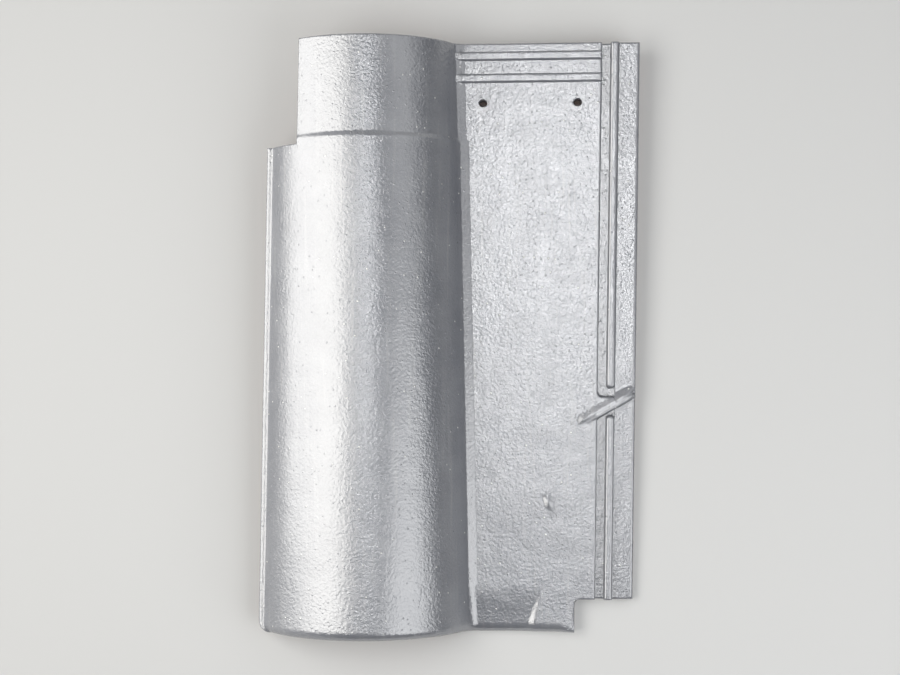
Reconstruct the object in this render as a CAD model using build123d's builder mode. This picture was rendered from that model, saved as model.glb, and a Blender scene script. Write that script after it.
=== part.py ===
"""Interlocking clay roof tile with a large tapered roll on the left and a flat pan on the right.

The tile is drawn in millimetres as it leaves the press: X runs across it from the roll to the side lock,
Y from the nose (the lower end on a roof) to the head, and Z up through it from the underside of the pan.
The finished tile is then turned to lie on a level floor, as it would unheld.
"""

import math
import os

from build123d import *

# Overall sizes
length = 450.0
cover_width = 235.0
gauge = 358.0
wall = 11.5
pan_thickness = 12.0

# Roll
roll_inset = -1.5
roll_span = 162.5
roll_height = 50.0
head_narrowing = 16.0
foot_radius = 11.0
underside_radius = 7.0

# Lip on the roll's left side
lip_height = 9.0
lip_clearance = 1.0
lip_radius = 1.8
lip_root_radius = 1.2

# Side lock on the pan's right edge
lap_to_groove = 20.0
groove_width = 7.0
groove_depth = 6.0
groove_corner_radius = 4.0
side_rib_width = 6.0
side_rib_rise = 1.5
side_rib_radius = 1.8
apron_width = 16.0
upper_apron_drop = 2.5
lower_apron_drop = 5.0
edge_radius = 2.0
tongue_side_clearance = 1.2
tongue_tip_clearance = 1.5

# Diagonal weir across the side lock
weir_y = 166.0
weir_angle = 31.0
weir_width = 7.0
weir_rise = 1.2
weir_radius = 2.0
weir_overlap = 12.0
bank_above_weir = 13.0
rib_to_weir = 1.5

# Nose
nose_radius = 7.0
corner_radius = 10.0
notch_lap = 5.0
notch_length = 25.0
notch_radius = 4.0

# Drip ramp beside the roll's foot, at the nose
ramp_length = 36.0
ramp_width = 44.5
ramp_nose_width = 33.5
ramp_corner_y = 10.0
ramp_depth = 1.8
ramp_side_slope = 45.0

# Head
head_step = 1.5
head_step_slope = 3.0
head_step_gap = 16.0
head_cut_width = 26.0
head_cut_gap = 12.0
head_rib_width = 6.0
head_rib_height = 2.5
head_rib_draft = 15.0
head_rib_pitch = 17.0
head_rib_inset = 10.0
head_rib_count = 2

# Nail holes and hanging lugs
nail_hole_diameter = 5.5
nail_hole_inset = 46.0
nail_hole_margin = 18.0
lug_depth = 14.0
lug_width = 24.0
lug_thickness = 13.0
lug_draft = 5.0
lug_corner_radius = 4.0
lug_inset = 62.0
roll_lug_offset = 10.0
pan_lug_offset = 30.0

side_drift = head_narrowing / 2
pan_top = pan_thickness
lip_bottom = pan_top + lip_clearance
lip_top = lip_bottom + lip_height
groove_x = cover_width + lap_to_groove
width = groove_x + groove_width + side_rib_width + apron_width
tongue_left = lap_to_groove + tongue_side_clearance
tongue_right = lap_to_groove + groove_width - tongue_side_clearance
tongue_bottom = pan_top - groove_depth + tongue_tip_clearance
side_angle = math.atan2(side_drift, length)
rib_right = groove_width + side_rib_width
lug_y = length - lug_inset
nail_hole_y = length - nail_hole_inset


def drift(y):
    """How far the tile's two sides have moved to the right at a distance y from the nose."""
    return side_drift * y / length


def roll_at(y):
    """Centre X, centre Z and outer radius of the roll at a distance y from the nose."""
    share = 1 - head_narrowing / roll_span * y / length
    span = roll_span * share
    height = roll_height * share
    radius = (span**2 / 4 + height**2) / (2 * height)
    return drift(y) + roll_inset + span / 2, pan_top + height - radius, radius


def foot_at(y):
    """X at which the roll's outside would meet the pan's top at a distance y from the nose."""
    centre_x, centre_z, radius = roll_at(y)
    return x_on_arc(centre_x, centre_z, radius, pan_top, 1)


def x_on_arc(centre_x, centre_z, radius, z, side):
    """X of the point at height z on a circle, on its left (-1) or right (+1) side."""
    return centre_x + side * math.sqrt(radius**2 - (z - centre_z) ** 2)


def roll_cone(depth):
    """Solid cone inside the roll, with its surface at that depth below the roll's, past both ends."""
    centre_x, nose_z, nose_radius_out = roll_at(0)
    head_z, head_radius_out = roll_at(length)[1:]
    taper = (nose_radius_out - head_radius_out) / length
    along = Plane(origin=(centre_x, 0, nose_z), x_dir=(0, length, head_z - nose_z), z_dir=(1, 0, 0))
    with BuildPart() as solid:
        with BuildSketch(along):
            with BuildLine():
                Polyline(
                    (-wall, 0),
                    (length + wall, 0),
                    (length + wall, head_radius_out - depth - taper * wall),
                    (-wall, nose_radius_out - depth + taper * wall),
                    (-wall, 0),
                )
            make_face()
        revolve(axis=Axis(along.origin, along.x_dir))
    return solid.part


def section(y, drop=0.0):
    """Cross-section at y with the roll still solid inside and its outside lowered by drop."""
    centre_x, centre_z, full_radius = roll_at(y)
    outer = full_radius - drop
    left = drift(y)
    apron_x = groove_x + rib_right + left
    edge_x = width + left
    apron_top = pan_top - upper_apron_drop
    lip_root = (x_on_arc(centre_x, centre_z, outer, lip_top, -1), lip_top)
    crown = (centre_x, centre_z + outer)
    foot = (x_on_arc(centre_x, centre_z, outer, pan_top, 1), pan_top)
    with BuildSketch(Plane.XZ.offset(-y)) as profile:
        with BuildLine():
            Polyline((left, lip_bottom), (left, lip_top), lip_root)
            ThreePointArc(lip_root, crown, foot)
            Polyline(
                foot,
                (apron_x, pan_top),
                (apron_x, apron_top),
                (edge_x, apron_top),
                (edge_x, 0),
                (centre_x, 0),
                (centre_x, tongue_bottom),
                (tongue_left + left, tongue_bottom),
                (tongue_left + left, lip_bottom),
                (left, lip_bottom),
            )
        make_face()

        def corner(point):
            return profile.vertices().sort_by_distance((point[0], point[1], 0))[0]

        fillet(corner(foot), foot_radius)
        fillet(corner((left, lip_top)), lip_radius)
        fillet(corner(lip_root), lip_root_radius)
        fillet(corner((edge_x, apron_top)), edge_radius)
    return profile.sketch


step_start = gauge + head_step_gap
step_end = step_start + head_step_slope
notch_x = cover_width + notch_lap
centre_x, centre_z, nose_roll_radius = roll_at(0)
foot_centre_z = pan_top + foot_radius
foot_centre_x = x_on_arc(centre_x, centre_z, nose_roll_radius + foot_radius, foot_centre_z, 1)
lock_plane = Plane(
    origin=(groove_x, 0, pan_top),
    x_dir=(math.cos(side_angle), -math.sin(side_angle), 0),
    z_dir=(0, 0, 1),
)


def weir_line(x):
    """Y of the weir's centre line at a distance x right of the groove's left edge."""
    return weir_y + x * math.tan(math.radians(weir_angle))


def rib_sketch(low, high):
    """Outline of a rib of the side lock between low and high, with round ends, on the groove's floor."""
    with BuildSketch(lock_plane.offset(-groove_depth)) as outline:
        with Locations((groove_width, low)):
            Rectangle(side_rib_width, high - low, align=(Align.MIN, Align.MIN))
        fillet(outline.vertices(), side_rib_width * 0.45)
    return outline.sketch


def below_weir(left, right, height):
    """Area of the side lock below the weir's centre line, from left to right, at a height over the pan."""
    with BuildSketch(lock_plane.offset(height)) as area:
        with BuildLine():
            Polyline(
                (left, -length),
                (right, -length),
                (right, weir_line(right)),
                (left, weir_line(left)),
                (left, -length),
            )
        make_face()
    return area.sketch


def lug(x, top):
    """Tapered hanging lug under the tile, with its axis at x, reaching up to the height top."""
    shrink = 2 * lug_depth * math.tan(math.radians(lug_draft))
    with BuildPart() as peg:
        with BuildSketch(Plane.XY.offset(-lug_depth)):
            with Locations((x, lug_y)):
                RectangleRounded(lug_width - shrink, lug_thickness - shrink, lug_corner_radius)
        extrude(amount=lug_depth + top, taper=-lug_draft)
    return peg.part


with BuildPart() as ramp:
    with BuildSketch(Plane.YZ.offset(foot_centre_x - ramp_width)) as ramp_profile:
        with BuildLine():
            Polyline(
                (ramp_length, pan_top),
                (0, pan_top - ramp_depth),
                (0, 0),
                (-ramp_length, 0),
                (-ramp_length, 2 * pan_top),
                (ramp_length, 2 * pan_top),
                (ramp_length, pan_top),
            )
        make_face()
        fillet(ramp_profile.vertices().sort_by_distance((0, pan_top - ramp_depth, 0))[0], nose_radius)
    extrude(amount=3 * ramp_width)
    with BuildSketch(Plane.XY.offset(pan_top)):
        with BuildLine():
            Polyline(
                (foot_centre_x, -ramp_length),
                (foot_centre_x + ramp_nose_width, -ramp_length),
                (foot_centre_x + ramp_nose_width, ramp_corner_y),
                (foot_centre_x + ramp_width, ramp_length),
                (foot_centre_x, ramp_length),
                (foot_centre_x, -ramp_length),
            )
        make_face()
    extrude(amount=-pan_top, taper=ramp_side_slope, mode=Mode.INTERSECT)


with BuildPart() as outline:
    with BuildSketch(Plane.XY.offset(-2 * lug_depth)) as plan:
        with BuildLine():
            Polyline(
                (0, 0),
                (notch_x, 0),
                (notch_x, notch_length),
                (width + drift(notch_length), notch_length),
                (width + drift(length), length),
                (head_cut_width + drift(length), length),
                (head_cut_width + drift(gauge), gauge + head_cut_gap),
                (drift(gauge), gauge + head_cut_gap),
                (0, 0),
            )
        make_face()
        fillet(plan.vertices().sort_by_distance((0, 0, 0))[0], corner_radius)
        fillet(plan.vertices().sort_by_distance((notch_x, notch_length, 0))[0], notch_radius)
    extrude(amount=2 * lug_depth + pan_top + 2 * roll_height)


weir_above = weir_y + bank_above_weir
weir_face = weir_line(groove_width) - weir_width / 2 / math.cos(math.radians(weir_angle))

with BuildPart() as lock_ribs:
    for low, high in ((-length, weir_face - rib_to_weir), (weir_above + groove_width, 2 * length)):
        extrude(rib_sketch(low, high), amount=groove_depth + side_rib_rise)
    fillet(lock_ribs.edges().group_by(Axis.Z)[-1], side_rib_radius)
    add(outline.part, mode=Mode.INTERSECT)

with BuildPart() as weir:
    weir_left = weir_width / 2 - weir_overlap
    weir_right = rib_right + apron_width - weir_width / 2 - edge_radius
    weir_middle = (weir_left + weir_right) / 2
    weir_run = (weir_right - weir_left) / math.cos(math.radians(weir_angle))
    with BuildSketch(lock_plane.offset(-groove_depth)):
        with Locations((weir_middle, weir_line(weir_middle))):
            SlotCenterToCenter(weir_run, weir_width, rotation=weir_angle)
    extrude(amount=groove_depth + weir_rise)
    fillet(weir.edges().group_by(Axis.Z)[-1], weir_radius)


# Lug inside the roll, ending in the middle of its wall
with BuildPart() as roll_lug:
    add(roll_cone(wall / 2))
    add(lug(roll_at(lug_y)[0] - roll_lug_offset, pan_top + roll_height), mode=Mode.INTERSECT)

# Hollow under the roll, from the lip's tongue to the pan
with BuildPart() as hollow:
    add(roll_cone(wall))
    split(bisect_by=Plane(origin=(tongue_right, 0, 0), z_dir=lock_plane.x_dir), keep=Keep.TOP)


with BuildPart() as tile:
    loft(
        [section(0), section(step_start), section(step_end, head_step), section(length, head_step)],
        ruled=True,
    )
    add(hollow.part, mode=Mode.SUBTRACT)
    fillet(tile.faces().sort_by(Axis.Z)[0].edges().sort_by(Axis.X)[0], underside_radius)
    add(outline.part, mode=Mode.INTERSECT)

    # Rounded nose, following the roll, its foot and the pan
    with BuildLine(Plane.XZ) as nose_line:
        start_angle = math.degrees(math.asin((lip_top - centre_z) / nose_roll_radius))
        toe = math.degrees(math.atan2(foot_centre_z - centre_z, foot_centre_x - centre_x))
        CenterArc((centre_x, centre_z), nose_roll_radius, 180 - start_angle, toe - 180 + start_angle)
        CenterArc((foot_centre_x, foot_centre_z), foot_radius, 180 + toe, 90 - toe)
        Line((foot_centre_x, pan_top), (notch_x + 1, pan_top))
    with BuildSketch(Plane(origin=(notch_x + 1, 0, pan_top), x_dir=(0, 1, 0), z_dir=(1, 0, 0))):
        with BuildLine():
            RadiusArc((0, -nose_radius), (nose_radius, 0), -nose_radius)
            Polyline((nose_radius, 0), (nose_radius, 1), (-1, 1), (-1, -nose_radius), (0, -nose_radius))
        make_face()
    sweep(path=nose_line.wires()[0], mode=Mode.SUBTRACT)
    add(ramp.part, mode=Mode.SUBTRACT)

    # Lower apron and lower groove, which both end at the weir
    lower_apron = below_weir(rib_right, rib_right + 2 * apron_width, -lower_apron_drop)
    extrude(lower_apron, amount=lower_apron_drop, mode=Mode.SUBTRACT)
    lower_groove = below_weir(0, rib_right, -groove_depth)
    extrude(lower_groove, amount=groove_depth, mode=Mode.SUBTRACT)

    # Upper groove, which wraps round the end of its rib
    with BuildSketch(lock_plane.offset(-groove_depth)) as upper_groove:
        with Locations((0, weir_above)):
            Rectangle(rib_right, length, align=(Align.MIN, Align.MIN))
        fillet(upper_groove.vertices().group_by(Axis.X)[0], groove_corner_radius)
    extrude(amount=groove_depth, mode=Mode.SUBTRACT)
    add(lock_ribs.part)
    add(weir.part)

    # Ribs across the pan's head
    for index in range(head_rib_count):
        rib_y = length - head_rib_inset - index * head_rib_pitch
        rib_start = foot_at(rib_y) - wall / 2
        with BuildSketch(Plane.XY.offset(pan_top - 1)):
            with Locations((rib_start, rib_y)):
                Rectangle(groove_x + drift(rib_y) - rib_start, head_rib_width, align=(Align.MIN, Align.CENTER))
        extrude(amount=head_rib_height + 1, taper=head_rib_draft)

    # Hanging lugs, one inside the roll and one under the pan
    add(roll_lug.part)
    add(lug(groove_x + drift(lug_y) - pan_lug_offset, pan_thickness / 2))

    # Nail holes
    with Locations(
        (foot_at(nail_hole_y) + nail_hole_margin, nail_hole_y, pan_top),
        (groove_x + drift(nail_hole_y) - nail_hole_margin, nail_hole_y, pan_top),
    ):
        Hole(nail_hole_diameter / 2, pan_top)

# The tile lies on the nose of its pan and on the nose-side edges of its lugs
lug_edge_y = lug_y - lug_thickness / 2 + lug_depth * math.tan(math.radians(lug_draft))
rest_angle = math.degrees(math.atan2(lug_depth, lug_edge_y))
box = (Rot(X=rest_angle) * tile.part).bounding_box()
rest_shift = Vector(-box.center().X, -box.center().Y, -box.min.Z)
tile.part = Pos(rest_shift) * Rot(X=rest_angle) * tile.part

tile.part.label = "roof_tile"
os.makedirs("parts", exist_ok=True)
export_step(tile.part, "parts/roof_tile.step")
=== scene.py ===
"""Looks of a glazed clay roof tile: its finely shaped mesh, its glaze, and a plain pale studio.

The mesh is worked out in millimetres in the tile's own drawing frame, where X runs from the roll to the side
lock, Y from the nose to the head and Z up from the underside of the pan. It is then turned and moved to where
the tile rests on the floor, and scaled to metres.
"""

import math

import bpy
import numpy as np
from mathutils import Matrix, Vector


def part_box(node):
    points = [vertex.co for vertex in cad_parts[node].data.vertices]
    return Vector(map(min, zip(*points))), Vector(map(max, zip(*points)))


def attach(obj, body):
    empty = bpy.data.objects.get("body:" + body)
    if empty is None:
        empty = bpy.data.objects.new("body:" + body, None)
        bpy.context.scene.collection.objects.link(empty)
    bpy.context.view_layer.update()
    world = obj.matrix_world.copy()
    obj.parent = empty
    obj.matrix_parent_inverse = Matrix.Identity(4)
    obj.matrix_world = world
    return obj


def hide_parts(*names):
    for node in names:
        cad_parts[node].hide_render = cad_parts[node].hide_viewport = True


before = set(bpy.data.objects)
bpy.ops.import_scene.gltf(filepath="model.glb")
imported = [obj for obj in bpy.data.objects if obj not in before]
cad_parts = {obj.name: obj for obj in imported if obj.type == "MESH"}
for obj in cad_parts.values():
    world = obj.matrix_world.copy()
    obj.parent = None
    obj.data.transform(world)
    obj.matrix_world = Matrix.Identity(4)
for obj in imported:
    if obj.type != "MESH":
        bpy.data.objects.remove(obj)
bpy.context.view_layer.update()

# Overall sizes, in millimetres
LENGTH = 450.0
WALL = 11.5
PAN_TOP = 12.0

# Roll and its lip
ROLL_INSET = -1.5
ROLL_SPAN = 162.5
ROLL_HEIGHT = 50.0
HEAD_NARROWING = 16.0
FOOT_RADIUS = 11.0
FOOT_STRIP_SLOPE = 0.31
FOOT_STRIP_LEAD = 2.0
FOOT_STRIP_FADE = 3.0
UNDERSIDE_RADIUS = 7.0
LIP_BOTTOM = 13.0
LIP_TOP = 22.0
LIP_RADIUS = 1.8
LIP_ROOT_RADIUS = 1.2
LIP_ROOT_X = 4.3

# Side lock
GROOVE_X = 255.0
GROOVE_WIDTH = 7.0
GROOVE_FLOOR = 6.0
GROOVE_CORNER = 4.0
GROOVE_EDGE = 1.0
RIB_RIGHT = 13.0
RIB_TOP = 13.5
RIB_RADIUS = 1.8
RIB_END_RADIUS = 2.7
APRON_WIDTH = 16.0
UPPER_APRON = 9.5
LOWER_APRON = 7.0
APRON_EDGE = 2.0
TONGUE_LEFT = 21.2
TONGUE_RIGHT = 25.8
TONGUE_BOTTOM = 7.5
WIDTH = GROOVE_X + RIB_RIGHT + APRON_WIDTH

# Diagonal weir across the side lock
WEIR_Y = 166.0
WEIR_SLOPE = math.tan(math.radians(31))
WEIR_WIDTH = 7.0
WEIR_TOP = 13.2
WEIR_RADIUS = 2.0
WEIR_LEFT = -8.5
WEIR_RIGHT = 23.5
WEIR_FADE = 9.0
BANK_FADE = 4.0
UPPER_GROOVE_END = 179.0
RIB_TO_WEIR = 1.5

# Nose, with its notch and drip ramp
NOSE_RADIUS = 7.0
NOSE_END_RADIUS = 2.0
NOSE_FADE = 15.0
CORNER_RADIUS = 10.0
NOTCH_X = 240.0
NOTCH_LENGTH = 25.0
NOTCH_RADIUS = 4.0
NOTCH_FADE = 20.0
RAMP_LENGTH = 36.0
RAMP_WIDTH = 49.0
RAMP_NOSE_WIDTH = 42.0
RAMP_CORNER_Y = 10.0
RAMP_DEPTH = 1.8
RAMP_SIDE_SLOPE = 0.36

# Run of thick glaze on the pan
RUN_X = 221.0
RUN_Y = 99.0
RUN_WIDTH = 2.3
RUN_LENGTH = 4.5
RUN_HEIGHT = 1.1
RUN_RAGGED = 0.35

# Head
HEAD_STEP = 1.5
STEP_START = 374.0
STEP_END = 377.0
HEAD_CUT_X = 26.0
HEAD_CUT_Y = 370.0
HEAD_RIBS = (440.0, 423.0)
HEAD_RIB_WIDTH = 6.0
HEAD_RIB_HEIGHT = 2.5
HEAD_RIB_RADIUS = 1.0

# Nail holes and lugs
HOLE_RADIUS = 2.75
HOLE_Y = 404.0
HOLE_MARGIN = 18.0
LUG_Y = 388.0
LUG_DEPTH = 14.0
LUG_HALF = (12.0, 6.5)
LUG_DRAFT = math.tan(math.radians(5))
LUG_CORNER = 4.0
LUG_ROOT = 2.0
LUG_TIP = 1.0
ROLL_LUG_X = 69.75
PAN_LUG_MARGIN = 30.0

# Small roundings that a pressed and glazed edge has, and its slow unevenness
EDGE_RADIUS = 1.3
UNDER_RADIUS = 0.8
HOLE_EDGE_RADIUS = 0.7
NOSE_RIM = 0.05
WALL_RUN = 0.5
WAVE = 0.16

# Grid of the mesh: longest cell sides, lines beside holes and walls, and finer lines at the ramp's side
COLUMN_STEP = 4.0
ROW_STEP = 5.0
HOLE_LINES = (0, 1, 2, 3, 4.5, 6.5, 9)
HOLE_BLOCK = 3
HOLE_REACH = 9
WALL_LINES = (0.0, 0.25, 0.5, 1.0)
RAMP_SIDE = (200.0, 218.0)

# How far the grid bends near the weir, the nose's corner and the notch
SKEW_REACH = 70
SKEW_SHIFT = 8
SKEW_FADE = 45
SKEW_START = -12
CORNER_REACH = 30
NOTCH_REACH = 15

# How far the mesh moves towards the head, so that its box stays inside the solid's box
REST_SHIFT = 0.028

# How much of the underside the glaze covers at the edge, and how fast that fades inwards
UNDER_COVER = 0.5
UNDER_COVER_FADE = 7

# Millimetres to metres
MM = 0.001

# Relief of the glaze in millimetres; its orange peel is calmer on the pan, past that range of X in metres
WRINKLE = 0.42
PAN_WRINKLE = 0.28
PEEL_FADE = (0.005, 0.025)
SWELL = 0.3
PIMPLE = 0.2
BEAD = 0.18

# Gloss of the glaze and roughness of the raw clay
GLOSS_LOW = 0.13
GLOSS_HIGH = 0.2
GLAZE_IOR = 2.7
STREAK_ROUGHNESS = 0.03
CLAY_ROUGHNESS = 0.85

# Pattern of the glaze: stretch of its streaks, strength of its marks, and ragged edge of its cover
STREAK_SCALE = (150, 7, 150)
SPECK_TINT = 0.7
PIT_TINT = 0.7
COVER_RAGGED = 0.35
COVER_EDGE = (0.62, 0.78)

# Floor and surround, with distances in metres
PALE = 0.68
PALE_COLOUR = (1.0, 1.0, 0.985, 1)
FLOOR_COLOUR = (0.6, 0.6, 0.595, 1)
FLOOR_ROUGHNESS = 0.9
FLOOR_RADIUS = 12
FLOOR_NEAR = 0.45
FLOOR_FAR = 1.6
SURROUND_LIGHT = 0.2
SURROUND_HIGH = 0.1
HORIZON_TILT = (0.4, -0.4, 1.0)
HORIZON_RANGE = (0.15, 0.4)

# Lights: the place that most of them face, and their colours
ROLL_MIDDLE = (-0.066, 0.0, 0.06)
WARM_WHITE = (1.0, 0.985, 0.95)
SOFT_WHITE = (1.0, 0.985, 0.955)
COOL_WHITE = (0.98, 0.99, 1.0)

# Camera in metres, with its lens and sensor in millimetres
CAMERA_PLACE = (0.07, -0.07, 1.2)
CAMERA_TARGET = (0, 0, 0.02)
LENS = 61.9
SENSOR_WIDTH = 36


def smooth(value):
    """Smooth step from 0 to 1."""
    value = np.clip(value, 0, 1)
    return value * value * (3 - 2 * value)


def drift(y):
    """How far the tile's two sides have moved to the right at a distance y from the nose."""
    return HEAD_NARROWING / 2 * y / LENGTH


def roll_at(y):
    """Centre X, centre Z and outer radius of the roll at a distance y from the nose."""
    share = 1 - HEAD_NARROWING / ROLL_SPAN * y / LENGTH
    span = ROLL_SPAN * share
    height = ROLL_HEIGHT * share
    radius = (span**2 / 4 + height**2) / (2 * height)
    return drift(y) + ROLL_INSET + span / 2, PAN_TOP + height - radius, radius


def arc(radius, offset):
    """Height of a circle of that radius above its centre, at an offset to the side."""
    return np.sqrt(np.maximum(radius**2 - offset**2, 0))


def rounding(distance, radius):
    """How far a rounded edge has dropped at a distance inside it."""
    radius = np.maximum(radius, 1e-6)
    return radius - arc(radius, np.clip(radius - distance, 0, radius))


def raised(low, high, inside, radius):
    """Surface that climbs from low to high where inside, a distance in from an edge, is over zero."""
    crown = np.maximum(high - rounding(inside, radius), low)
    return low + (crown - low) * smooth((inside + WALL_RUN) / WALL_RUN)


def box_distance(x, y, x_range, y_range, radius):
    """Distance inside (over zero) or outside (under zero) a rectangle with rounded corners."""
    across = np.abs(x - (x_range[0] + x_range[1]) / 2) - (x_range[1] - x_range[0]) / 2 + radius
    along = np.abs(y - (y_range[0] + y_range[1]) / 2) - (y_range[1] - y_range[0]) / 2 + radius
    outside = np.hypot(np.maximum(across, 0), np.maximum(along, 0))
    return radius - outside - np.minimum(np.maximum(across, along), 0)


def nose_drop(x, y):
    """Drop of the nose's rounding, which fades to a small one at the pan's outer corner."""
    fade = smooth((x - NOTCH_X + NOSE_FADE) / NOSE_FADE)
    return rounding(y, NOSE_RADIUS + (NOSE_END_RADIUS - NOSE_RADIUS) * fade)


def lock_height(x, y, pan):
    """Height of the side lock: aprons, diagonal weir, grooves and ribs."""
    angle = math.atan2(HEAD_NARROWING / 2, LENGTH)
    across = (x - GROOVE_X) * math.cos(angle) - y * math.sin(angle)
    along = (x - GROOVE_X) * math.sin(angle) + y * math.cos(angle)
    turn = math.atan(WEIR_SLOPE)
    past_weir = (along - WEIR_Y) * math.cos(turn) - across * math.sin(turn)
    weir_run = across * math.cos(turn) + (along - WEIR_Y) * math.sin(turn)
    weir_ends = (WEIR_LEFT / math.cos(turn), WEIR_RIGHT / math.cos(turn))
    in_weir = WEIR_WIDTH / 2 - np.hypot(past_weir, weir_run - np.clip(weir_run, *weir_ends))

    apron = LOWER_APRON + (UPPER_APRON - LOWER_APRON) * smooth(past_weir / WEIR_WIDTH + 0.5)
    height = raised(apron, pan, RIB_RIGHT - across, APRON_EDGE)
    bank = smooth((in_weir + BANK_FADE) / (WEIR_WIDTH / 2 + BANK_FADE - 1)) * smooth(past_weir / 2 + 0.5)
    height = height + (WEIR_TOP - height) * bank

    upper_span = (UPPER_GROOVE_END, 2 * LENGTH)
    upper_groove = box_distance(across, along, (0, RIB_RIGHT + 2 * GROOVE_CORNER), upper_span, GROOVE_CORNER)
    for groove in (upper_groove, np.minimum(across, -past_weir)):
        cut = raised(GROOVE_FLOOR, height, -groove, GROOVE_EDGE)
        height = np.where(across < RIB_RIGHT, cut, height)
    weir_face = WEIR_Y + GROOVE_WIDTH * WEIR_SLOPE - WEIR_WIDTH / 2 / math.cos(turn)
    for low, high in ((-LENGTH, weir_face - RIB_TO_WEIR), (UPPER_GROOVE_END + GROOVE_WIDTH, 2 * LENGTH)):
        in_rib = box_distance(across, along, (GROOVE_WIDTH, RIB_RIGHT), (low, high), RIB_END_RADIUS)
        height = raised(height, np.maximum(RIB_TOP, height), in_rib, RIB_RADIUS)
    crest = height + (np.maximum(WEIR_TOP, height) - height) * smooth((across - WEIR_LEFT) / WEIR_FADE)
    return raised(height, crest, in_weir, WEIR_RADIUS)


def ramp_depth(x, y):
    """Depth of the shallow drip ramp beside the roll's foot, at the nose."""
    width = np.interp(y, (RAMP_CORNER_Y, RAMP_LENGTH), (RAMP_NOSE_WIDTH, RAMP_WIDTH))
    from_side = (foot_fillet(0.0, 0.0) + width - x) * RAMP_SIDE_SLOPE
    return np.clip(np.minimum(RAMP_DEPTH * smooth(1 - y / RAMP_LENGTH), from_side), 0, None)


def foot_fillet(y, drop):
    """X of the centre of the fillet between the roll's outside and the pan."""
    centre_x, centre_z, radius = roll_at(y)
    return centre_x + arc(radius - drop + FOOT_RADIUS, PAN_TOP + FOOT_RADIUS - centre_z)


def foot_height(x, y, fillet_x, nose):
    """Height of the foot's fillet, with the straight strip that crosses it from the ramp to the head."""
    fillet = PAN_TOP + FOOT_RADIUS - arc(FOOT_RADIUS + nose, x - fillet_x)
    strip = PAN_TOP + (fillet_x - x) * FOOT_STRIP_SLOPE
    past_ramp = smooth((y - RAMP_LENGTH + FOOT_STRIP_LEAD) / FOOT_STRIP_FADE)
    return fillet + np.maximum(strip - fillet, 0) * past_ramp


def top_height(x, y):
    """Height of the tile's upper surface over the drawing plane."""
    centre_x, centre_z, radius = roll_at(y)
    step = HEAD_STEP * np.clip((y - STEP_START) / (STEP_END - STEP_START), 0, 1)
    nose = nose_drop(x, y)
    outer = radius - step - nose
    roll = centre_z + arc(outer, x - centre_x)

    fillet_x = foot_fillet(y, step)
    touch_x = centre_x + (fillet_x - centre_x) * outer / (radius - step + FOOT_RADIUS)
    ramp = ramp_depth(x, y) * smooth((x - touch_x) / (fillet_x - touch_x))
    foot = foot_height(x, y, fillet_x, nose) - ramp
    pan = lock_height(x, y, PAN_TOP + 0 * x) - nose - ramp
    height = np.where(x < touch_x, roll, np.where(x < fillet_x, foot, pan))
    for rib_y in HEAD_RIBS:
        inside = np.minimum(HEAD_RIB_WIDTH / 2 - np.abs(y - rib_y), GROOVE_X + drift(y) - x)
        rib = raised(height, PAN_TOP + HEAD_RIB_HEIGHT, inside, HEAD_RIB_RADIUS)
        height = np.where(x > centre_x, np.maximum(height, rib), height)

    lip = LIP_TOP - rounding(y, NOSE_END_RADIUS)
    root_x = centre_x - arc(outer + LIP_ROOT_RADIUS, lip + LIP_ROOT_RADIUS - centre_z)
    root_touch = centre_x + (root_x - centre_x) * outer / (outer + LIP_ROOT_RADIUS)
    root = lip + LIP_ROOT_RADIUS - arc(LIP_ROOT_RADIUS, x - root_x)
    height = np.where(x < root_x, lip, np.where(x < root_touch, root, height))
    return height + slow_wave(x, y) + glaze_run(x, y)


def glaze_run(x, y):
    """Small ragged run of thick glaze on the pan, near its outer side."""
    across = (x - RUN_X) / RUN_WIDTH
    along = (y - RUN_Y) / RUN_LENGTH
    ragged = 1 + RUN_RAGGED * np.sin(2.1 * across + 1.3 * along) * np.cos(1.7 * along)
    return RUN_HEIGHT * np.exp(-((across + 0.5 * along) ** 2 + along**2) * ragged)


def slow_wave(x, y):
    """Shallow unevenness of pressed clay, never above the drawn surface."""
    waves = (
        np.sin(x / 23 + 1.1 * np.sin(y / 71)) * np.cos(y / 37 + 0.7)
        + 0.7 * np.sin(x / 13 - y / 29 + 2.0)
        + 0.5 * np.cos(x / 9.5 + y / 17)
    )
    return WAVE * (waves / 2.2 - 1) / 2


def under_height(x, y):
    """Height of the tile's underside: lip, tongue, hollow of the roll and flat pan."""
    centre_x, centre_z, radius = roll_at(y)
    inner = radius - WALL
    fillet_x = centre_x + arc(inner + UNDERSIDE_RADIUS, UNDERSIDE_RADIUS - centre_z)
    touch_x = centre_x + (fillet_x - centre_x) * inner / (inner + UNDERSIDE_RADIUS)
    hollow = centre_z + arc(inner, x - centre_x)
    fillet = UNDERSIDE_RADIUS - arc(UNDERSIDE_RADIUS, x - fillet_x)
    height = np.where(x < touch_x, hollow, np.where(x < fillet_x, fillet, 0))
    height = np.where(x < TONGUE_RIGHT + drift(y), TONGUE_BOTTOM, height)
    return np.where(x < TONGUE_LEFT + drift(y), LIP_BOTTOM, height)


def plan_shift(places):
    """Share of the drift that each lengthwise line takes, so that the lines follow lip, foot and groove."""
    return np.interp(places, (TONGUE_RIGHT + 0.7, ROLL_INSET + ROLL_SPAN, GROOVE_X), (1, -1, 1))


def line_at(x, y):
    """Nose-end place of the lengthwise line that passes through x at a distance y from the nose."""
    places = np.linspace(0, WIDTH, 2000)
    return float(np.interp(x, places + drift(y) * plan_shift(places), places))


def around(place, *distances):
    """Places on both sides of a feature, at each distance from it."""
    return [place + side * distance for distance in distances for side in (-1, 1)]


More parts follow.
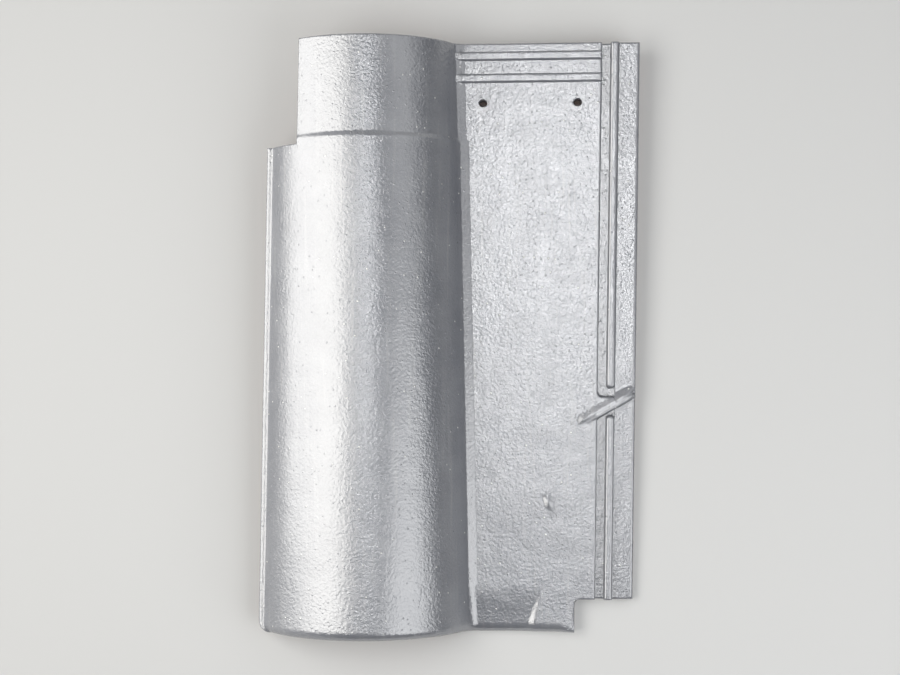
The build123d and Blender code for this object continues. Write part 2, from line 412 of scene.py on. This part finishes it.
def filled(marks, step):
    """The sorted marks, with the wide gaps between them divided into equal parts no longer than step."""
    marks = sorted(set(round(mark, 4) for mark in marks))
    places = []
    for low, high in zip(marks, marks[1:]):
        count = max(1, math.ceil((high - low) / step))
        places += [low + (high - low) * index / count for index in range(count)]
    return np.array(places + marks[-1:])


# Nail holes, as lengthwise line and distance from the nose
holes = [
    (line_at(ROLL_INSET + ROLL_SPAN - drift(HOLE_Y) + HOLE_MARGIN, HOLE_Y), HOLE_Y),
    (line_at(GROOVE_X + drift(HOLE_Y) - HOLE_MARGIN, HOLE_Y), HOLE_Y),
]


def lug_block(x, root_z):
    """Place of a lug, with the half sizes of its root on the tile's underside at that height."""
    reach = LUG_ROOT + root_z * LUG_DRAFT
    return line_at(x, LUG_Y), LUG_HALF[0] + reach, LUG_HALF[1] + reach


# Lugs, as lengthwise line and half sizes at the root, and the bend of their rounded corners
roll_lug_root = float(under_height(np.float64(ROLL_LUG_X), np.float64(LUG_Y)))
lugs = [lug_block(ROLL_LUG_X, roll_lug_root), lug_block(GROOVE_X + drift(LUG_Y) - PAN_LUG_MARGIN, 0.0)]
LUG_BEND = (LUG_CORNER + LUG_ROOT, (LUG_CORNER + LUG_ROOT) * (1 - math.tan(math.radians(22.5))), 0)


def span(low, high, step):
    """Places from low up to high, a step apart."""
    return list(np.arange(low, high, step))


def crosswise_marks():
    """Places across the tile where its surface has an edge or a small rounding."""
    foot_end = foot_fillet(0.0, 0.0)
    marks = [0, HEAD_CUT_X, HEAD_CUT_X + 1.2, HEAD_CUT_X + 2.5]
    marks += [NOTCH_X, NOTCH_X + 2, WIDTH - APRON_EDGE - 0.5, WIDTH]
    marks += around(LIP_ROOT_X, 0, 0.5, 1.0, 1.5)
    marks += around(TONGUE_LEFT, 0.2) + around(TONGUE_RIGHT, 0.2)
    marks += span(foot_end - 16.1, foot_end + 2.0, 0.7)
    marks += span(*RAMP_SIDE, 1.2) + span(RUN_X - 7, RUN_X + 5, 0.8)
    marks += span(NOTCH_X - NOSE_FADE, NOTCH_X, 2.5) + around(NOTCH_X, 1.0)
    for hole_line, _ in holes:
        marks += around(hole_line, *HOLE_LINES)
    for wall in (0, GROOVE_WIDTH, RIB_RIGHT):
        marks += around(GROOVE_X + wall, *WALL_LINES)
    marks += span(GROOVE_X - 2.0, GROOVE_X + RIB_RIGHT + 2.0, 0.75)
    for lug_line, half, _ in lugs:
        marks += around(lug_line, *(half - bend for bend in LUG_BEND))
    return marks


def lengthwise_marks():
    """Places along the tile where its surface has an edge or a small rounding."""
    marks = [NOSE_RADIUS * (1 - math.cos(math.radians(angle))) for angle in range(0, 91, 10)]
    marks += [8.5, CORNER_RADIUS, 12, HEAD_CUT_Y, HEAD_CUT_Y + 1.5, LENGTH - 1.5, LENGTH]
    marks += [NOTCH_LENGTH - NOTCH_RADIUS * (1 - math.sin(math.radians(a))) for a in (0, 22, 45, 65, 90)]
    marks += [NOTCH_LENGTH + 1.5, NOTCH_LENGTH + 3]
    marks += span(RAMP_LENGTH - 4, RAMP_LENGTH + 4, 0.8)
    marks += span(WEIR_Y - 14, WEIR_Y + 36, 0.7) + span(RUN_Y - 8, RUN_Y + 8, 0.9)
    marks += [STEP_START - 1, STEP_START, STEP_START + 1, STEP_END - 1, STEP_END, STEP_END + 1]
    marks += around(HOLE_Y, *HOLE_LINES)
    for _, _, half in lugs:
        marks += around(LUG_Y, *(half - bend for bend in LUG_BEND))
    for rib_y in HEAD_RIBS:
        marks += around(rib_y, 0, 1.2, 2, 2.4, 2.8, 3.1, 3.6)
    return marks


# Grid lines that run along the tile, and those that run across it
columns = filled(crosswise_marks(), COLUMN_STEP)
rows = filled(lengthwise_marks(), ROW_STEP)


def column_of(place):
    """Index of the lengthwise grid line nearest a place."""
    return int(np.abs(columns - place).argmin())


def row_of(place):
    """Index of the crosswise grid line nearest a place."""
    return int(np.abs(rows - place).argmin())


def plan_grid():
    """X and Y of every grid point, with the grid bent to the tile's outline, its weir and its nail holes."""
    line, station = np.meshgrid(columns, rows, indexing="ij")
    near_weir = smooth((SKEW_REACH - np.abs(station - WEIR_Y - SKEW_SHIFT)) / SKEW_FADE)
    skew = WEIR_SLOPE * np.clip(line - GROOVE_X, SKEW_START, RIB_RIGHT + APRON_WIDTH)
    along = station + near_weir * skew
    for hole_line, hole_y in holes:
        across, beside = line - hole_line, station - hole_y
        square = np.maximum(np.abs(across), np.abs(beside))
        share = np.clip((HOLE_REACH - square) / (HOLE_REACH - HOLE_BLOCK), 0, 1) * (square > 0)
        scale = square * HOLE_RADIUS / HOLE_BLOCK / np.maximum(np.hypot(across, beside), 1e-6)
        line = line + share * across * (scale - 1)
        along = along + share * beside * (scale - 1)

    # The nose's left corner is round, and so is the notch's inner corner
    corner = rounding(along, CORNER_RADIUS)
    line = line + corner * np.clip(1 - line / CORNER_REACH, 0, 1)
    past_corner = smooth((along - NOTCH_LENGTH) / NOTCH_FADE)
    bend = np.where(along < NOTCH_LENGTH, notch_bend(along), NOTCH_RADIUS * (1 - past_corner))
    pan_side = (line - NOTCH_X + NOTCH_REACH) / NOTCH_REACH
    lock_side = (GROOVE_X - 1 - line) / (GROOVE_X - 1 - NOTCH_X)
    reach = np.where(line < NOTCH_X, pan_side, lock_side)
    line = line + bend * np.clip(reach, 0, 1)
    return line + drift(along) * plan_shift(line), along


def notch_bend(along):
    """How far the notch's side has turned outwards near the notch's end."""
    return NOTCH_RADIUS - arc(NOTCH_RADIUS, np.clip(along - NOTCH_LENGTH + NOTCH_RADIUS, 0, NOTCH_RADIUS))


def grid_path(corners):
    """Grid points along a closed loop of straight runs between the corners, as rows of (column, row)."""
    path = []
    for (column, row), (next_column, next_row) in zip(corners, corners[1:] + corners[:1]):
        run_x, run_y = next_column - column, next_row - row
        count = max(abs(run_x), abs(run_y))
        for index in range(count):
            path.append((column + run_x * index // count, row + run_y * index // count))
    return np.array(path)


def block_path(low_column, high_column, low_row, high_row):
    """Clockwise loop round a block of grid cells."""
    corners = [(low_column, low_row), (low_column, high_row), (high_column, high_row), (high_column, low_row)]
    return grid_path(corners)


def inward(points):
    """Direction into the tile at each point of a loop that keeps the tile on its left, mitred at corners."""
    run = np.roll(points, -1, axis=0) - points
    run /= np.linalg.norm(run, axis=1)[:, None]
    left = np.stack((-run[:, 1], run[:, 0]), axis=1)
    before = np.roll(left, 1, axis=0)
    return (left + before) / (1 + np.sum(left * before, axis=1))[:, None]


class Shell:
    """Vertices, faces and glaze cover of the tile while it is being put together."""

    def __init__(self):
        self.points, self.covers, self.faces, self.count = [], [], [], 0

    def add(self, x, y, z, cover):
        """Add vertices and return their indices in the shape of x."""
        self.points.append(np.stack((x.ravel(), y.ravel(), z.ravel()), axis=1))
        self.covers.append(np.broadcast_to(cover, x.shape).ravel())
        indices = np.arange(self.count, self.count + x.size).reshape(x.shape)
        self.count += x.size
        return indices

    def sheet(self, indices, cells, upward):
        """Faces of a grid of vertices, for the cells that are there."""
        corners = (indices[:-1, :-1], indices[1:, :-1], indices[1:, 1:], indices[:-1, 1:])
        quads = np.stack([corner[cells] for corner in corners], axis=1)
        self.faces.append(quads if upward else quads[:, ::-1])

    def band(self, upper, lower, outward_right):
        """Faces between two closed rings of vertices."""
        quads = np.stack((upper, lower, np.roll(lower, -1), np.roll(upper, -1)), axis=1)
        self.faces.append(quads if outward_right else quads[:, ::-1])


def block_round(line, station, half_x, half_y):
    """Block of grid cells round a place: its low and high column, and its low and high row."""
    column_range = (column_of(line - half_x), column_of(line + half_x))
    return column_range + (row_of(station - half_y), row_of(station + half_y))


# Sizes of the grid, and the grid lines of the notch, the cut, the holes and the lugs
columns_count, rows_count = len(columns), len(rows)
notch_column, notch_row = column_of(NOTCH_X), row_of(NOTCH_LENGTH)
cut_column, cut_row = column_of(HEAD_CUT_X), row_of(HEAD_CUT_Y)
hole_blocks = [block_round(line, y, HOLE_BLOCK, HOLE_BLOCK) for line, y in holes]
lug_blocks = [block_round(line, LUG_Y, across, beside) for line, across, beside in lugs]


def cells_without(blocks):
    """Which grid cells are there, without the given blocks."""
    cells = np.ones((columns_count - 1, rows_count - 1), bool)
    for low_column, high_column, low_row, high_row in blocks:
        cells[low_column:high_column, low_row:high_row] = False
    return cells


def inset_grid(x, y, path, radius):
    """The plan grid with the points of a loop moved into the tile by the radius of the edge there."""
    points = np.stack((x[path[:, 0], path[:, 1]], y[path[:, 0], path[:, 1]]), axis=1)
    direction = inward(points)
    x, y = x.copy(), y.copy()
    x[path[:, 0], path[:, 1]] += direction[:, 0] * radius
    y[path[:, 0], path[:, 1]] += direction[:, 1] * radius
    return x, y, points, direction


def outer_edge_radius(path):
    """Radius of the upper edge at each point of the outline: none at the nose, which is rounded already."""
    column, row = path[:, 0], path[:, 1]
    radius = np.full(len(path), EDGE_RADIUS)
    radius[column == columns_count - 1] = APRON_EDGE
    radius[column == 0] = LIP_RADIUS
    radius *= smooth(rows[row] / CORNER_RADIUS)
    radius = (np.roll(radius, 1) + 2 * radius + np.roll(radius, -1)) / 4
    radius[row == 0] = NOSE_RIM
    return np.maximum(radius, NOSE_RIM)


def tile_outline():
    """Loop of grid points round the tile, with the notch at its nose and the cut at its head."""
    right, back = columns_count - 1, rows_count - 1
    corners = [(0, 0), (notch_column, 0), (notch_column, notch_row), (right, notch_row)]
    corners += [(right, back), (cut_column, back), (cut_column, cut_row), (0, cut_row)]
    return grid_path(corners)


def tile_mesh():
    """The whole tile as one closed shell of quads, in the drawing frame."""
    shell = Shell()
    x, y = plan_grid()
    outline = tile_outline()
    loops = [(outline, outer_edge_radius(outline))]
    loops += [(block_path(*block), np.full(1, HOLE_EDGE_RADIUS)) for block in hole_blocks]
    top_x, top_y, under_x, under_y = x, y, x, y
    edges = []
    for path, radius in loops:
        top_x, top_y, points, direction = inset_grid(top_x, top_y, path, radius)
        under_x, under_y, _, _ = inset_grid(under_x, under_y, path, UNDER_RADIUS)
        edges.append((path, points, direction, radius))
    for (line, half_x, half_y), block in zip(lugs, lug_blocks):
        round_block(under_x, under_y, line, block, half_x, half_y)

    gaps = [(notch_column, columns_count, 0, notch_row), (0, cut_column, cut_row, rows_count)] + hole_blocks
    top_z = top_height(top_x, top_y)
    under_z = under_height(under_x, under_y)
    near_edge = np.minimum(np.minimum(x - drift(y), WIDTH + drift(y) - x), np.minimum(y, LENGTH - y))
    top = shell.add(top_x, top_y, top_z, 1.0)
    under_cover = UNDER_COVER * np.exp(-np.maximum(near_edge, 0) / UNDER_COVER_FADE)
    under = shell.add(under_x, under_y, under_z, under_cover)
    shell.sheet(top, cells_without(gaps), True)
    shell.sheet(under, cells_without(gaps + lug_blocks), False)
    for path, points, direction, radius in edges:
        add_wall(shell, path, points, direction, radius, top, top_z, under, under_z)
    for (line, half_x, half_y), block in zip(lugs, lug_blocks):
        add_lug(shell, line, block, half_x, half_y, under, under_x, under_y, under_z)
    return shell


def add_wall(shell, path, points, direction, radius, top, top_z, under, under_z):
    """The tile's side along a loop, from the upper edge's rounding to the lower one's."""
    column, row = path[:, 0], path[:, 1]
    high, low = top_z[column, row], under_z[column, row]
    rings = [top[column, row]]

    def ring(inset, z, cover):
        place = points + direction * np.broadcast_to(inset, len(path))[:, None]
        rings.append(shell.add(place[:, 0], place[:, 1], z, cover))

    for angle in (25, 50, 72, 90):
        turn = math.radians(angle)
        ring(radius * (1 - math.sin(turn)), high - radius * (1 - math.cos(turn)), 1.0)
    side_high, side_low = high - radius, low + UNDER_RADIUS
    ring(0, side_high + (side_low - side_high) * 0.5, 0.97)
    for angle, cover in ((90, 0.85), (45, 0.7)):
        turn = math.radians(angle)
        ring(UNDER_RADIUS * (1 - math.sin(turn)), low + UNDER_RADIUS * (1 - math.cos(turn)), cover)
    rings.append(under[column, row])
    for upper, lower in zip(rings, rings[1:]):
        shell.band(upper, lower, True)


def lug_offsets(x, y, line, block):
    """Offsets of a block's grid points from the middle of its lug."""
    low_column, high_column, low_row, high_row = block
    part = (slice(low_column, high_column + 1), slice(low_row, high_row + 1))
    middle = x[column_of(line), low_row : high_row + 1]
    return part, x[part] - middle, y[part] - LUG_Y


def round_block(x, y, line, block, half_x, half_y):
    """Move the corners of a lug's block of grid cells onto rounded corners."""
    part, across, beside = lug_offsets(x, y, line, block)
    bend = LUG_BEND[0]
    past_x, past_y = np.abs(across) - half_x + bend, np.abs(beside) - half_y + bend
    corner = (past_x > 0.01) & (past_y > 0.01) & ((past_x > bend - 0.05) | (past_y > bend - 0.05))
    pull = np.where(corner, 1 - bend / np.maximum(np.hypot(past_x, past_y), 1e-6), 0)
    x[part] -= np.sign(across) * past_x * pull
    y[part] -= np.sign(beside) * past_y * pull


def add_lug(shell, line, block, half_x, half_y, under, under_x, under_y, under_z):
    """A tapered hanging lug that grows out of the underside, with a small root fillet and a rounded tip."""
    _, across, beside = lug_offsets(under_x, under_y, line, block)
    path = block_path(*block)
    column, row = path[:, 0], path[:, 1]
    local = (column - block[0], row - block[2])
    middle_x = under_x[column_of(line), block[2] : block[3] + 1]
    root = under_z[column, row]
    tip_inset = half_x - (LUG_HALF[0] - LUG_DEPTH * LUG_DRAFT)
    rings = [under[column, row]]

    def place(inset):
        return middle_x + across * (half_x - inset) / half_x, LUG_Y + beside * (half_y - inset) / half_y

    def ring(inset, z):
        x, y = place(inset)
        rings.append(shell.add(x[local], y[local], z, 0.0))

    for angle in (30, 60, 90):
        turn = math.radians(angle)
        ring(LUG_ROOT * math.sin(turn), root - LUG_ROOT * (1 - math.cos(turn)))
    wall_top, wall_low = root - LUG_ROOT, np.full(len(path), -LUG_DEPTH + LUG_TIP)
    for share in (0.25, 0.5, 0.75, 1.0):
        ring(LUG_ROOT + (tip_inset - 0.1 - LUG_ROOT) * share, wall_top + (wall_low - wall_top) * share)
    ring(tip_inset + 0.25 * LUG_TIP, wall_low - 0.7 * LUG_TIP)
    x, y = place(tip_inset + LUG_TIP)
    cap = shell.add(x, y, np.full(x.shape, -LUG_DEPTH), 0.0)
    rings.append(cap[local])
    for upper, lower in zip(rings, rings[1:]):
        shell.band(upper, lower, False)
    shell.sheet(cap, np.ones((cap.shape[0] - 1, cap.shape[1] - 1), bool), False)


# How the drawing frame is turned and moved to rest on the floor
REST_ANGLE = math.atan2(LUG_DEPTH, LUG_Y - LUG_HALF[1] + LUG_DEPTH * LUG_DRAFT)
REST_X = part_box("roof_tile")[1][0] / MM - WIDTH - drift(LENGTH)
REST_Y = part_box("roof_tile")[1][1] / MM - LENGTH * math.cos(REST_ANGLE) + REST_SHIFT


def resting(points):
    """Points of the drawing frame where the tile rests on the floor, in metres."""
    x, y, z = points.T
    turned_y = y * math.cos(REST_ANGLE) - z * math.sin(REST_ANGLE)
    turned_z = y * math.sin(REST_ANGLE) + z * math.cos(REST_ANGLE)
    return np.stack((x + REST_X, turned_y + REST_Y, turned_z), axis=1) * MM


def make_tile():
    """The tile's object, with its glaze cover as a vertex attribute."""
    shell = tile_mesh()
    faces = np.concatenate(shell.faces)
    used, faces = np.unique(faces, return_inverse=True)
    faces = faces.reshape(-1, 4)
    points = resting(np.concatenate(shell.points)[used])
    mesh = bpy.data.meshes.new("glazed_tile")
    mesh.from_pydata(points.tolist(), [], faces.tolist())
    cover = mesh.attributes.new("glaze_cover", "FLOAT", "POINT")
    cover.data.foreach_set("value", np.concatenate(shell.covers)[used].astype(np.float32))
    mesh.shade_smooth()
    mesh.set_sharp_from_angle(angle=math.radians(50))
    mesh.materials.append(glazed_clay())
    tile = bpy.data.objects.new("glazed_tile", mesh)
    bpy.context.scene.collection.objects.link(tile)
    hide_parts("roof_tile")
    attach(tile, "root")
    return tile


def new_material(name):
    """A new material, its shader and the maker of its nodes."""
    material = bpy.data.materials.new(name)
    material.use_nodes = True
    return material, material.node_tree.nodes["Principled BSDF"], Shading(material.node_tree)


def linear(red, green, blue):
    """Scene colour of an sRGB colour given from 0 to 255."""
    return tuple(((c / 255 + 0.055) / 1.055) ** 2.4 for c in (red, green, blue)) + (1.0,)


# Colours of the glaze and of the raw clay
GLAZE_COLOUR = linear(112, 114, 120)
GLAZE_DEEP = linear(102, 104, 111)
SPECK_COLOUR = linear(214, 214, 210)
PIT_COLOUR = linear(84, 86, 92)
CLAY_COLOUR = linear(168, 104, 74)
CLAY_DARK = linear(140, 84, 60)


class Shading:
    """Short ways to make and join the nodes of a material or a world."""

    def __init__(self, tree, coordinates="Object"):
        self.tree = tree
        self.link = tree.links.new
        self.place = self.node("ShaderNodeTexCoord").outputs[coordinates]

    def node(self, kind, inputs=None, **settings):
        """A new node with those settings and values of its inputs."""
        made = self.tree.nodes.new(kind)
        for key, value in settings.items():
            setattr(made, key, value)
        for key, value in (inputs or {}).items():
            made.inputs[key].default_value = value
        return made

    def stretched(self, scale):
        """The object's coordinates, scaled along each axis."""
        made = self.node("ShaderNodeMapping", {"Scale": scale})
        self.link(self.place, made.inputs["Vector"])
        return made.outputs["Vector"]

    def noise(self, scale, detail, roughness, place=None):
        """Fractal noise with that many waves a metre."""
        made = self.node("ShaderNodeTexNoise", {"Scale": scale, "Detail": detail, "Roughness": roughness})
        self.link(place or self.place, made.inputs["Vector"])
        return made.outputs["Fac"]

    def across(self, x_range, values):
        """Number that goes from one value to the other over a range of X."""
        split = self.node("ShaderNodeSeparateXYZ")
        self.link(self.place, split.inputs["Vector"])
        return self.fit(split.outputs["X"], x_range, values)

    def spots(self, per_metre, radius, share):
        """Round soft spots of that radius in cells, in that share of the cells."""
        made = self.node("ShaderNodeTexVoronoi", {"Scale": per_metre})
        self.link(self.place, made.inputs["Vector"])
        near = self.fit(made.outputs["Distance"], (0.25 * radius * per_metre, radius * per_metre), (1, 0))
        chosen = self.fit(made.outputs["Color"], (1 - share, 1 - share + 0.01), (0, 1))
        return self.math("MULTIPLY", near, chosen)

    def fit(self, value, low_high, to=(0, 1)):
        """Value moved from one range to another, smoothly and without leaving it."""
        inputs = {"From Min": low_high[0], "From Max": low_high[1], "To Min": to[0], "To Max": to[1]}
        made = self.node("ShaderNodeMapRange", inputs, interpolation_type="SMOOTHSTEP")
        self.link(value, made.inputs["Value"])
        return made.outputs["Result"]

    def math(self, operation, *values):
        """A math node on sockets or numbers."""
        made = self.node("ShaderNodeMath", operation=operation)
        for socket, value in zip(made.inputs, values):
            self.put(value, socket)
        return made.outputs[0]

    def colour(self, factor, first, second):
        """Mix of two colours."""
        made = self.node("ShaderNodeMix", data_type="RGBA")
        for index, value in ((0, factor), (6, first), (7, second)):
            self.put(value, made.inputs[index])
        return made.outputs[2]

    def number(self, factor, first, second):
        """Mix of two numbers."""
        made = self.node("ShaderNodeMix", data_type="FLOAT")
        for index, value in ((0, factor), (2, first), (3, second)):
            self.put(value, made.inputs[index])
        return made.outputs[0]

    def put(self, value, socket):
        """Give a socket a number, a colour or another socket's output."""
        if isinstance(value, bpy.types.NodeSocket):
            self.link(value, socket)
        else:
            socket.default_value = value


def glaze_colour(shading, specks, pits, streaks):
    """Cloudy blue-grey of the glaze, with faint streaks and grain, light specks and dark pits."""
    clouds = shading.fit(shading.noise(24, detail=4.0, roughness=0.6), (0.35, 0.65))
    glaze = shading.colour(clouds, GLAZE_DEEP, GLAZE_COLOUR)
    glaze = shading.colour(shading.fit(streaks, (0.5, 0.85), (0, 0.1)), glaze, SPECK_COLOUR)
    grain = shading.fit(shading.noise(800, detail=2.0, roughness=0.6), (0.45, 0.85), (0, 0.15))
    glaze = shading.colour(grain, glaze, PIT_COLOUR)
    glaze = shading.colour(shading.math("MULTIPLY", specks, SPECK_TINT), glaze, SPECK_COLOUR)
    return shading.colour(shading.math("MULTIPLY", pits, PIT_TINT), glaze, PIT_COLOUR)


def glaze_relief(shading, specks, pits):
    """Height of the orange peel, swell, pimples, beads and pits, in millimetres."""
    beads = shading.spots(per_metre=230, radius=0.0009, share=0.6)
    strength = shading.across(PEEL_FADE, (WRINKLE, PAN_WRINKLE))
    wrinkles = shading.math("MULTIPLY", shading.noise(460, detail=3.0, roughness=0.6), strength)
    swell = shading.math("MULTIPLY_ADD", shading.noise(70, detail=1.0, roughness=0.4), SWELL, wrinkles)
    pimples = shading.math("MULTIPLY_ADD", specks, PIMPLE, swell)
    beaded = shading.math("MULTIPLY_ADD", beads, BEAD, pimples)
    return shading.math("MULTIPLY_ADD", pits, -PIMPLE, beaded)


def glazed_clay():
    """Glossy blue-grey glaze with fine relief, over raw clay underneath."""
    material, shader, shading = new_material("glazed_clay")
    specks = shading.spots(per_metre=112, radius=0.0009, share=0.8)
    pits = shading.spots(per_metre=83, radius=0.0008, share=0.35)
    streaks = shading.noise(1, detail=3.0, roughness=0.6, place=shading.stretched(STREAK_SCALE))
    glaze = glaze_colour(shading, specks, pits, streaks)
    clay_clouds = shading.fit(shading.noise(160, detail=4.0, roughness=0.7), (0.3, 0.7))
    clay = shading.colour(clay_clouds, CLAY_DARK, CLAY_COLOUR)

    cover = shading.node("ShaderNodeAttribute", attribute_name="glaze_cover").outputs["Fac"]
    ragged = shading.math("MULTIPLY_ADD", shading.noise(220, detail=4.0, roughness=0.65), COVER_RAGGED, cover)
    glazed = shading.fit(ragged, COVER_EDGE)
    shading.link(shading.colour(glazed, clay, glaze), shader.inputs["Base Color"])

    gloss = shading.fit(shading.noise(40, detail=5.0, roughness=0.65), (0.3, 0.7), (GLOSS_LOW, GLOSS_HIGH))
    gloss = shading.math("MULTIPLY_ADD", shading.fit(streaks, (0.45, 0.75)), STREAK_ROUGHNESS, gloss)
    shading.link(shading.number(glazed, CLAY_ROUGHNESS, gloss), shader.inputs["Roughness"])
    shader.inputs["IOR"].default_value = GLAZE_IOR

    bump = shading.node("ShaderNodeBump", {"Strength": 1.0, "Distance": MM})
    shading.link(glaze_relief(shading, specks, pits), bump.inputs["Height"])
    shading.link(bump.outputs["Normal"], shader.inputs["Normal"])
    return material


def seen_rays(shading):
    """One for rays that show the surroundings (camera, glossy and transmission), nought for the others."""
    path = shading.node("ShaderNodeLightPath")
    seen = path.outputs["Is Camera Ray"]
    for name in ("Is Glossy Ray", "Is Transmission Ray"):
        seen = shading.math("MAXIMUM", seen, path.outputs[name])
    return seen


def make_floor():
    """Plain pale floor, lit near the tile and fading to an even pale tone towards the horizon."""
    material, shader, shading = new_material("floor")
    shader.inputs["Base Color"].default_value = FLOOR_COLOUR
    shader.inputs["Roughness"].default_value = FLOOR_ROUGHNESS
    distance = shading.node("ShaderNodeVectorMath", operation="LENGTH")
    shading.link(shading.place, distance.inputs[0])
    far = shading.fit(distance.outputs["Value"], (FLOOR_NEAR, FLOOR_FAR))
    pale = shading.node("ShaderNodeEmission", {"Color": PALE_COLOUR, "Strength": PALE})
    mix = shading.node("ShaderNodeMixShader")
    shading.link(shading.math("MULTIPLY", far, seen_rays(shading)), mix.inputs[0])
    shading.link(shader.outputs["BSDF"], mix.inputs[1])
    shading.link(pale.outputs["Emission"], mix.inputs[2])
    output = material.node_tree.nodes["Material Output"]
    shading.link(mix.outputs["Shader"], output.inputs["Surface"])
    bpy.ops.mesh.primitive_circle_add(vertices=96, radius=FLOOR_RADIUS, fill_type="NGON")
    floor = bpy.context.object
    floor.name = "floor"
    floor.data.materials.append(material)


def facing(place, target):
    """Matrix of a light or camera that stands at a place, faces its target and keeps the tile upright."""
    away = (Vector(place) - Vector(target)).normalized()
    side = Vector((0, 1, 0)).cross(away).normalized()
    turned = Matrix((side, away.cross(side), away)).transposed().to_4x4()
    return Matrix.Translation(place) @ turned


def area_light(name, place, target, size, radiance, colour):
    """Rectangular soft light, size across by size along Y, that faces its target."""
    data = bpy.data.lights.new(name, "AREA")
    data.shape = "RECTANGLE"
    data.size, data.size_y = size
    data.energy = radiance * math.pi * size[0] * size[1]
    data.color = colour
    light = bpy.data.objects.new(name, data)
    light.matrix_world = facing(place, target)
    light.visible_camera = False
    bpy.context.scene.collection.objects.link(light)
    return light


def make_lights(only_tile):
    """Soft lights: three on the left, the lower two for the tile only, two on the right and two above."""
    area_light(
        "key_softbox", place=(-0.636, 0.0, 0.94), target=ROLL_MIDDLE,
        size=(0.68, 1.2), radiance=3.6, colour=WARM_WHITE,
    )
    shoulder = area_light(
        "shoulder_softbox", place=(-0.976, 0.05, 0.585), target=ROLL_MIDDLE,
        size=(0.36, 1.25), radiance=2.8, colour=SOFT_WHITE,
    )
    side = area_light(
        "side_softbox", place=(-1.03, 0.28, 0.23), target=ROLL_MIDDLE,
        size=(0.4, 1.25), radiance=2.6, colour=SOFT_WHITE,
    )
    for light in (shoulder, side):
        light.light_linking.receiver_collection = only_tile
    area_light(
        "foot_softbox", place=(0.66, -0.43, 0.75), target=ROLL_MIDDLE,
        size=(0.86, 0.86), radiance=2.2, colour=COOL_WHITE,
    )
    area_light(
        "right_softbox", place=(0.63, 0.45, 0.78), target=ROLL_MIDDLE,
        size=(0.7, 0.9), radiance=0.8, colour=COOL_WHITE,
    )
    area_light(
        "top_softbox", place=(0.10, 0.03, 2.50), target=(0.10, 0.03, 0.0),
        size=(0.28, 1.64), radiance=5.5, colour=COOL_WHITE,
    )
    area_light(
        "head_softbox", place=(0.09, 0.38, 2.40), target=(0.09, 0.38, 0.0),
        size=(0.3, 0.93), radiance=3.1, colour=COOL_WHITE,
    )


def make_surround():
    """Dim even light from all round, and a pale horizon on the left and at the back that is only seen."""
    world = bpy.data.worlds.new("surround")
    bpy.context.scene.world = world
    world.use_nodes = True
    background = world.node_tree.nodes["Background"]
    background.inputs["Color"].default_value = PALE_COLOUR
    shading = Shading(world.node_tree, "Generated")
    height = shading.node("ShaderNodeVectorMath", {1: HORIZON_TILT}, operation="DOT_PRODUCT")
    shading.link(shading.place, height.inputs[0])
    horizon = shading.fit(height.outputs["Value"], HORIZON_RANGE, (PALE, SURROUND_HIGH))
    strength = shading.number(seen_rays(shading), SURROUND_LIGHT, horizon)
    shading.link(strength, background.inputs["Strength"])


def make_camera():
    """Camera that looks down on the tile as the photograph does, nearly along the pan's normal."""
    data = bpy.data.cameras.new("camera")
    data.sensor_width = SENSOR_WIDTH
    data.lens = LENS
    camera = bpy.data.objects.new("camera", data)
    camera.matrix_world = facing(CAMERA_PLACE, CAMERA_TARGET)
    bpy.context.scene.collection.objects.link(camera)
    bpy.context.scene.camera = camera


tile = make_tile()
make_floor()
only_tile = bpy.data.collections.new("only_tile")
only_tile.objects.link(tile)
make_lights(only_tile)
make_surround()
make_camera()
bpy.context.scene.view_settings.view_transform = "Standard"
